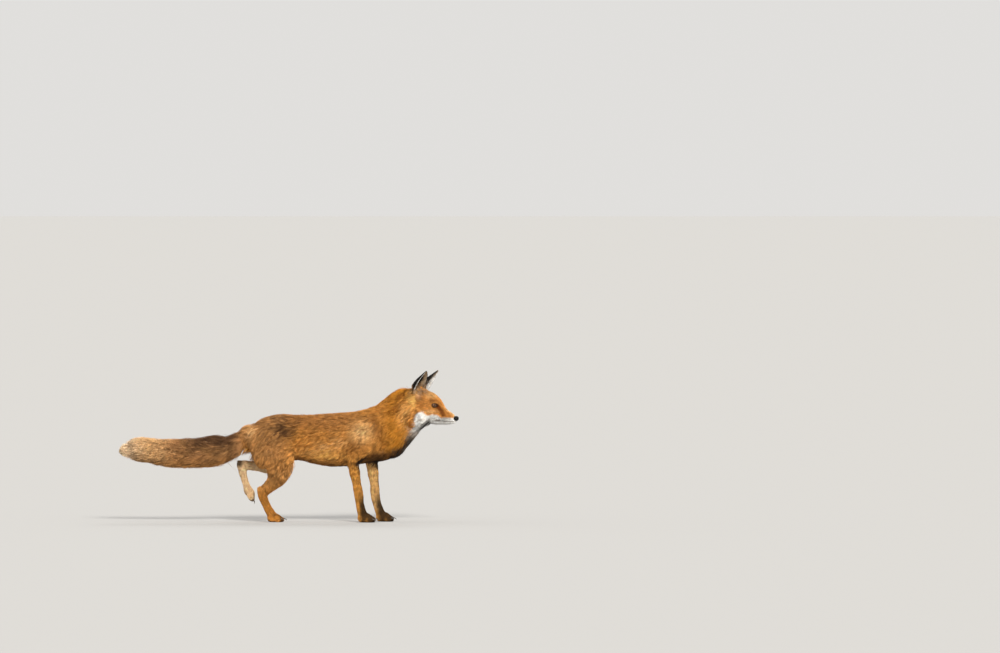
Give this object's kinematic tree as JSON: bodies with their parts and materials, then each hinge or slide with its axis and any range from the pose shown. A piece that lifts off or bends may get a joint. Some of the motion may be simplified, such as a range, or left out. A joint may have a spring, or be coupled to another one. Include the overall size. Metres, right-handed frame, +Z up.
{
  "type": "red fox model",
  "caption": "Life-size still model of a red fox in mid-walk, head raised and turned a little aside, brush held out behind, one hind foot just lifted.",
  "frame": {"origin": "on the floor, under the middle of the model's bounding box", "axes": "+X towards the nose, +Y to the fox's left, +Z up"},
  "size_m": [1.0518, 0.1532, 0.4696],
  "materials": {
    "head": "short dense orange-red coat with white lips and cheeks",
    "lower_jaw": "short white coat",
    "neck": "long orange coat, sooty grey under the throat",
    "trunk": "long golden-brown coat, dark under the chest and belly",
    "tail_tip": "long buff coat with dark hair ends",
    "tail": "long brown coat with dark hair ends",
    "thigh": "long grizzled golden-brown coat",
    "calf": "short golden-brown coat",
    "pastern": "short orange-brown coat",
    "hindpaw": "short dark brown coat",
    "upper_foreleg": "dense orange coat",
    "forearm": "short orange coat, darker in front",
    "forepaw": "short blackish coat",
    "ear": "velvety black back, cream hair at the inner edge",
    "eye": "glossy amber brown",
    "nose": "moist black, finely pebbled",
    "claw": "smooth dark horn"
  },
  "bodies": {
    "root": {"calf_left": "calf", "calf_right": "calf", "claw_fore_left_inner": "claw", "claw_fore_left_mid_inner": "claw", "claw_fore_left_mid_outer": "claw", "claw_fore_left_outer": "claw", "claw_fore_right_inner": "claw", "claw_fore_right_mid_inner": "claw", "claw_fore_right_mid_outer": "claw", "claw_fore_right_outer": "claw", "claw_hind_left_inner": "claw", "claw_hind_left_mid_inner": "claw", "claw_hind_left_mid_outer": "claw", "claw_hind_left_outer": "claw", "claw_hind_right_inner": "claw", "claw_hind_right_mid_inner": "claw", "claw_hind_right_mid_outer": "claw", "claw_hind_right_outer": "claw", "ear_left": "ear", "ear_right": "ear", "eye_left": "eye", "eye_right": "eye", "forearm_left": "forearm", "forearm_right": "forearm", "forepaw_left": "forepaw", "forepaw_right": "forepaw", "head": "head", "hindpaw_left": "hindpaw", "hindpaw_right": "hindpaw", "lower_jaw": "lower_jaw", "neck": "neck", "nose": "nose", "pastern_left": "pastern", "pastern_right": "pastern", "tail": "tail", "tail_tip": "tail_tip", "thigh_left": "thigh", "thigh_right": "thigh", "trunk": "trunk", "upper_foreleg_left": "upper_foreleg", "upper_foreleg_right": "upper_foreleg"}
  },
  "joints": []
}
